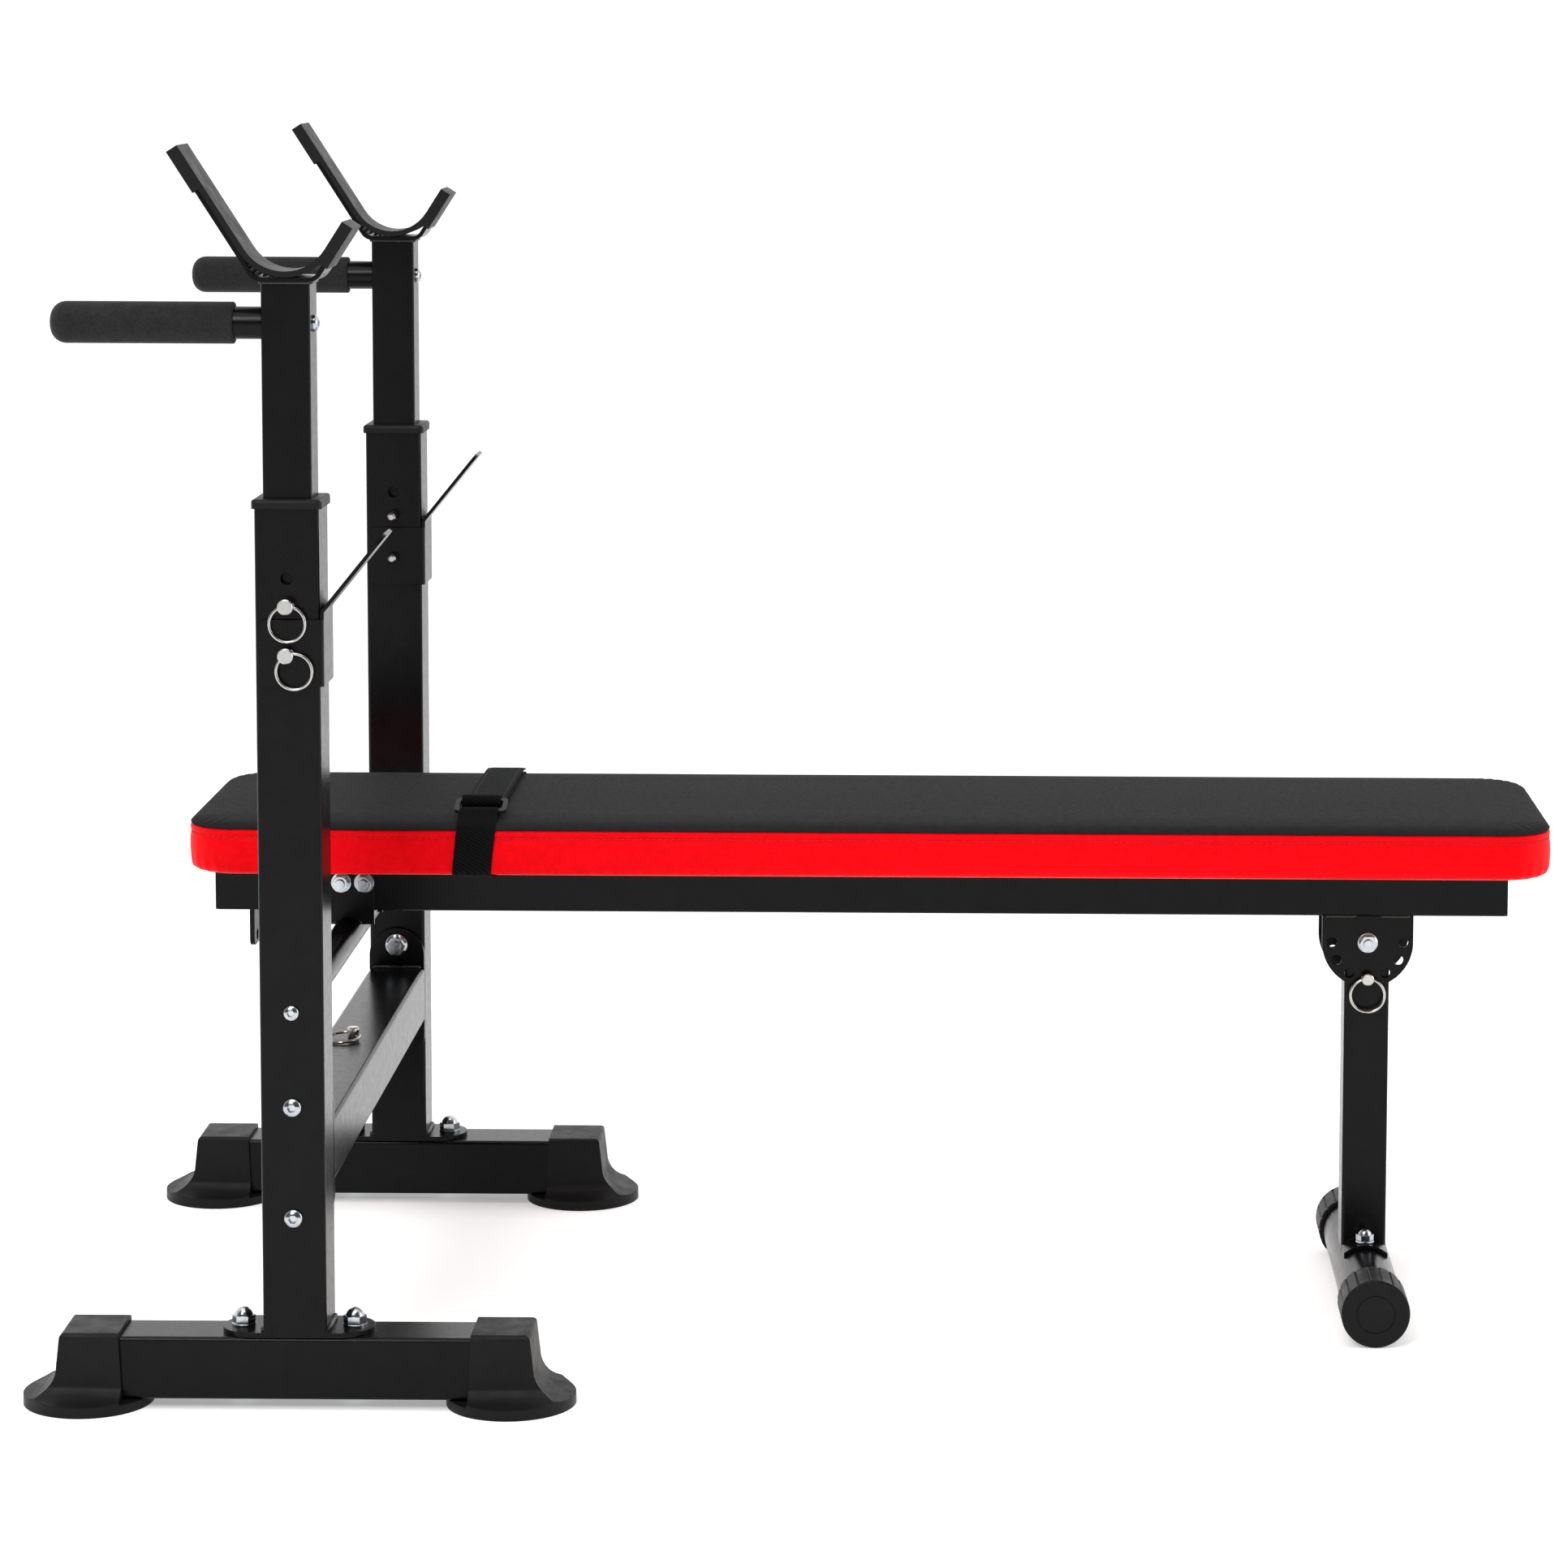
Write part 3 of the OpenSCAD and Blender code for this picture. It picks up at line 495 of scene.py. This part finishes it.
verts, faces = [], []
pitch_s = per / round(per / 0.0052)
for i in range(round(per / pitch_s)):
    p, n = at((i + 0.5) * pitch_s)
    n3 = Vector((n.x, n.y, 0))
    t3 = Vector((-n.y, n.x, 0))
    c = Vector((p.x, p.y, SEAM - 0.0062)) - n3 * 0.00055
    t3 = (t3 + Vector((0, 0, random.uniform(-0.04, 0.04)))).normalized()
    capsule(verts, faces, c, t3, n3, Vector((0, 0, 1)), 0.0038, 0.00042, 0.00042)
new_mesh("pad_stitches", verts, faces, [thread("thread_red", (0.50, 0.006, 0.014))], "bench")


# ---------------------------------------------------------------- strap
def pad_z(y):
    """Height of the pad top at a distance from the middle."""
    d = 0.130 - abs(y)
    pr = top_profile + [(0.08, SEAM + 0.0091), (0.130, SEAM + 0.0094)]
    if d <= pr[0][0]:
        return pr[0][1]
    for (d0, z0), (d1, z1) in zip(pr, pr[1:]):
        if d0 <= d <= d1 and d1 > d0:
            return z0 + (z1 - z0) * (d - d0) / (d1 - d0)
    return pr[-1][1]


def strip(name, path, width, thick, mats, x_of, cup=0.0, seg=8):
    """A band of webbing along a path of (y, z), with rounded edges; x_of gives its middle."""
    pts = [Vector((p[0], p[1])) for p in path]
    dense = []
    for a, b in zip(pts, pts[1:]):
        m = max(1, int((b - a).length / 0.0022))
        dense += [a.lerp(b, i / m) for i in range(m)]
    dense.append(pts[-1])
    # smooth the polyline a little
    for _ in range(2):
        dense = [dense[0]] + [dense[i - 1] * 0.25 + dense[i] * 0.5 + dense[i + 1] * 0.25 for i in range(1, len(dense) - 1)] + [dense[-1]]
    n = len(dense)
    sect = []
    for i in range(seg + 1):
        sect.append((-0.5 + i / seg, 0.5))
    for i in range(seg + 1):
        sect.append((0.5 - i / seg, -0.5))
    vs, fs = [], []
    s = 0.0
    for i, p in enumerate(dense):
        a, b = dense[max(0, i - 1)], dense[min(n - 1, i + 1)]
        t = (b - a).normalized()
        nrm = Vector((t.y, -t.x))
        if i:
            s += (p - dense[i - 1]).length
        for u, w in sect:
            edge = 1 - 0.35 * max(0.0, abs(u) - 0.42) / 0.08
            rib = 0.00012 * math.sin(u * math.pi * 14)
            x = x_of(p.x, p.y) + u * width + 0.0002 * noise.noise(Vector((s * 60, u * 3, 0.4)))
            off = w * thick * edge + (rib if w > 0 else 0) + cup * (u * u - 0.1)
            q = p + nrm * off
            vs.append((x, q.x, q.y))
    k = len(sect)
    for i in range(n - 1):
        for j in range(k):
            a, b = i * k + j, i * k + (j + 1) % k
            fs.append((a, a + k, b + k, b))
    fs.append(tuple(range(k)))
    fs.append(tuple(reversed(range((n - 1) * k, n * k))))
    o = new_mesh(name, vs, fs, mats, "bench")
    o["length"] = s
    return o, s


SX = POST_X + 0.1187
g = 0.0011
side = 0.1304
# the ring that the loose end passes through, from the CAD
blo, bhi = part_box("strap_buckle")
RC = Vector(((blo[1] + bhi[1]) / 2, (blo[2] + bhi[2]) / 2))
tilt = math.radians(20)
e1, e2 = Vector((math.cos(tilt), math.sin(tilt))), Vector((-math.sin(tilt), math.cos(tilt)))


def on_ring(a, b):
    """Point a millimetres along the ring's depth and b above its plane."""
    q = RC + e1 * (a * MM) + e2 * (b * MM)
    return (q.x, q.y)


def strap_x_of(y, z):
    # a slightly skewed band: it leans forward up the near side, and straightens towards the far side
    if y < -0.125:
        return SX - 0.002 + 0.004 * min(1.0, max(0.0, (z - 0.386) / 0.038))
    if y < -0.104:
        return SX + 0.002 + 0.0015 * (y + 0.125) / 0.021
    return SX + 0.0035 - 0.002 * min(1.0, (y + 0.104) / 0.234)


under = [(-0.047, 0.3849), (-0.118, 0.3850), (-0.1265, 0.3862), (-side - 0.0002, 0.3895), (-side - g, 0.396)]
up = [(-side - g, 0.41), (-side - g, 0.4225), (-0.1299, 0.4268), (-0.1268, 0.4299)]
over = [(-0.1225, pad_z(0.1225) + 0.0022), on_ring(-12.6, 1.2), on_ring(-10.6, 2.7), on_ring(-8.5, 3.0), on_ring(-6.4, 2.3), on_ring(-5.0, 0.2), on_ring(-3.6, -2.4), on_ring(-0.5, -4.4)]
path = under + up + over
far = [(y, pad_z(y) + g) for y in (-0.096, -0.088, -0.06, -0.03, 0.0, 0.03, 0.06, 0.09, 0.112, 0.122)] + [(0.1275, 0.4296), (0.1308, 0.4262), (side + g, 0.4222), (side + g, 0.396), (side + 0.0002, 0.3895), (0.1265, 0.3862), (0.118, 0.3850), (0.047, 0.3849)]
strap_main, L1 = strip("strap_band", path + far, 0.032, 0.0016, [MATS["webbing"]], strap_x_of)
# the loose end is rolled round the ring's far bar and runs over the band to the far edge
roll = []
rc = Vector(on_ring(6.6, 0.4))
for i in range(19):
    a = math.radians(-30 - 250 * i / 18)
    roll.append((rc.x + 0.0049 * math.cos(a), rc.y + 0.0049 * math.sin(a)))
lift = [(rc.x + 0.0075, rc.y + 0.0038), (rc.x + 0.0140, rc.y + 0.0010), (-0.078, pad_z(0.078) + 0.0058)]
flap_path = roll + lift + [(y, pad_z(y) + 0.0042) for y in (-0.068, -0.05, -0.02, 0.02, 0.06, 0.095, 0.114)] + [(0.1225, 0.4337)]
strap_flap, L2 = strip("strap_flap", flap_path, 0.0318, 0.0021, [MATS["webbing"]], strap_x_of)
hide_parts("strap")

# box stitching on the flap
verts, faces = [], []


def seam_line(a, b, z_of):
    length = (b - a).length
    m = max(2, round(length / 0.0036))
    for i in range(m):
        p = a.lerp(b, (i + 0.5) / m)
        t = Vector((b.x - a.x, b.y - a.y, 0)).normalized()
        c = Vector((p.x, p.y, z_of(p.y)))
        capsule(verts, faces, c, t, Vector((0, 0, 1)), Vector((-t.y, t.x, 0)), 0.0026, 0.0003, 0.0003, 5)


zf = lambda y: pad_z(y) + 0.0042 + 0.00105
for y0, y1 in ((-0.066, -0.036), (-0.030, 0.108)):
    m0, m1 = strap_x_of(y0, 1), strap_x_of(y1, 1)
    w = 0.0127
    for a, b in (((m0 - w, y0), (m0 + w, y0)), ((m0 + w, y0), (m1 + w, y1)), ((m1 + w, y1), (m1 - w, y1)), ((m1 - w, y1), (m0 - w, y0))):
        seam_line(Vector((*a, 0)), Vector((*b, 0)), zf)
o = new_mesh("strap_stitches", verts, faces, [thread("thread_black", (0.012, 0.012, 0.0125))], "bench")


# ---------------------------------------------------------------- weld beads
def bead(name, lines, body, r=0.0021, ups=None):
    """Rippled weld beads along polylines."""
    vs, fs = [], []
    seg = 8
    for line in lines:
        pts = [Vector(p) for p in line]
        dense = []
        for a, b in zip(pts, pts[1:]):
            m = max(2, int((b - a).length / 0.0006))
            dense += [a.lerp(b, i / m) for i in range(m)]
        dense.append(pts[-1])
        base = len(vs)
        s = 0.0
        for i, p in enumerate(dense):
            a, b = dense[max(0, i - 1)], dense[min(len(dense) - 1, i + 1)]
            t = (b - a).normalized()
            if i:
                s += (p - dense[i - 1]).length
            x = t.orthogonal().normalized()
            ref = Vector((0, 0, 1)) if abs(t.z) < 0.8 else Vector((0, 1, 0))
            x = t.cross(ref).normalized()
            y = t.cross(x).normalized()
            end = min(1.0, (i + 1) / 4, (len(dense) - i) / 4)
            ph = (s / 0.0024) % 1.0
            rr = r * (0.82 + 0.25 * math.sqrt(max(0.0, 1 - (2 * ph - 1) ** 2)) + 0.08 * noise.noise(Vector((s * 300, r * 999, len(fs) * 0.01)))) * end
            for k in range(seg):
                an = 2 * math.pi * k / seg
                vs.append(tuple(p + x * (rr * math.cos(an)) + y * (rr * math.sin(an))))
        n = len(dense)
        for i in range(n - 1):
            for k in range(seg):
                a, b = base + i * seg + k, base + i * seg + (k + 1) % seg
                fs.append((a, b, b + seg, a + seg))
        fs.append(tuple(base + k for k in reversed(range(seg))))
        fs.append(tuple(base + (n - 1) * seg + k for k in range(seg)))
    return new_mesh(name, vs, fs, [WELD], body)


WELD = weld()
X = POST_X
lines = []
for sgn in (-1, 1):
    y = sgn * 0.2850
    lines += [[(X - 0.0225, y, 0.2212), (X + 0.0225, y, 0.2212)], [(X - 0.0225, y, 0.1708), (X + 0.0225, y, 0.1708)]]
bead("crossbeam_welds", lines, "rack", 0.0024)
lines = []
lx = POST_X + 0.864
for sgn in (-1, 1):
    lines += [[(lx - 0.036, sgn * 0.0228, 0.3358), (lx - 0.010, sgn * 0.0228, 0.3358)], [(lx + 0.010, sgn * 0.0228, 0.3358), (lx + 0.036, sgn * 0.0228, 0.3358)]]
bead("hinge_welds", lines, "bench", 0.0019)
bead("tab_welds", [[(X - 0.0852, -0.013, 0.3358), (X - 0.0852, 0.013, 0.3358)], [(X - 0.0808, -0.013, 0.3358), (X - 0.0808, 0.013, 0.3358)]], "bench", 0.0018)
lines = []
for sgn in (-1, 1):
    y = sgn * 0.0268
    lines += [[(X - 0.013, y, 0.3252), (X - 0.008, y, 0.3288)], [(X + 0.008, y, 0.3288), (X + 0.013, y, 0.3252)]]
bead("bracket_welds", lines, "bench", 0.0018)
for side_name, sgn in (("right", -1), ("left", 1)):
    yc = sgn * 0.314
    bead(f"hook_welds_{side_name}", [[(X - 0.019, yc + s2 * 0.0192, 0.8876), (X + 0.019, yc + s2 * 0.0192, 0.8876)] for s2 in (-1, 1)]
         + [[(X + s2 * 0.0192, yc - 0.017, 0.8876), (X + s2 * 0.0192, yc + 0.017, 0.8876)] for s2 in (-1, 1)], f"post_{side_name}", 0.0018)
    bead(f"post_foot_welds_{side_name}", [[(X - 0.0255, yc - 0.021, 0.0632), (X - 0.0255, yc + 0.021, 0.0632)], [(X + 0.0255, yc - 0.021, 0.0632), (X + 0.0255, yc + 0.021, 0.0632)]], "rack", 0.0022)

# ---------------------------------------------------------------- floor, light
fl = M("floor", (0.86, 0.86, 0.86), 0.85, spec=0.12)
fl.rough(fl.maprange(fl.noise(3.0, 3.0), 0.8, 0.9))
fl.b.inputs["Emission Color"].default_value = (1, 1, 1, 1)
fl.b.inputs["Emission Strength"].default_value = 0.34
fmat = fl.done()
me = bpy.data.meshes.new("floor")
S = 300
me.from_pydata([(-S, -S, 0), (S, -S, 0), (S, S, 0), (-S, S, 0)], [], [(0, 1, 2, 3)])
me.materials.append(fmat)
floor = bpy.data.objects.new("floor", me)
scene.collection.objects.link(floor)
floor.location.z = -0.0002

world = bpy.data.worlds.new("studio")
scene.world = world
world.use_nodes = True
wt = world.node_tree
bg = wt.nodes["Background"]
bg.inputs["Color"].default_value = (1.0, 1.0, 1.0, 1)
bg.inputs["Strength"].default_value = 1.15
# the room: bright walls behind and above, a dim wall on the near side; the backdrop itself is plain white
room = wt.nodes.new("ShaderNodeBackground")
room.inputs["Strength"].default_value = 1.0
co = wt.nodes.new("ShaderNodeTexCoord")
sep = wt.nodes.new("ShaderNodeSeparateXYZ")
wt.links.new(co.outputs["Generated"], sep.inputs[0])
depth = wt.nodes.new("ShaderNodeMapRange")
depth.interpolation_type = "SMOOTHSTEP"
for k, v in (("From Min", -0.45), ("From Max", 0.25), ("To Min", 0.14), ("To Max", 1.7)):
    depth.inputs[k].default_value = v
wt.links.new(sep.outputs["Y"], depth.inputs["Value"])
wt.links.new(depth.outputs["Result"], room.inputs["Strength"])
path = wt.nodes.new("ShaderNodeLightPath")
mixer = wt.nodes.new("ShaderNodeMixShader")
wt.links.new(path.outputs["Is Camera Ray"], mixer.inputs[0])
wt.links.new(room.outputs[0], mixer.inputs[1])
wt.links.new(bg.outputs[0], mixer.inputs[2])
wt.links.new(mixer.outputs[0], wt.nodes["World Output"].inputs["Surface"])


def area(name, loc, target, size, power, color=(1, 1, 1)):
    d = bpy.data.lights.new(name, "AREA")
    d.shape = "RECTANGLE"
    d.size, d.size_y = size
    d.energy = power
    d.color = color
    o = bpy.data.objects.new(name, d)
    scene.collection.objects.link(o)
    o.location = loc
    o.rotation_euler = (Vector(target) - Vector(loc)).to_track_quat("-Z", "Y").to_euler()
    return o


area("key_top", (-0.4, -1.2, 3.4), (0, 0, 0.4), (2.6, 2.2), 46)
area("front_high", (-1.6, -4.2, 3.6), (0, 0, 0.4), (1.8, 1.8), 140)
area("right_wall", (3.6, -0.4, 1.3), (0, 0, 0.5), (2.2, 2.4), 45)
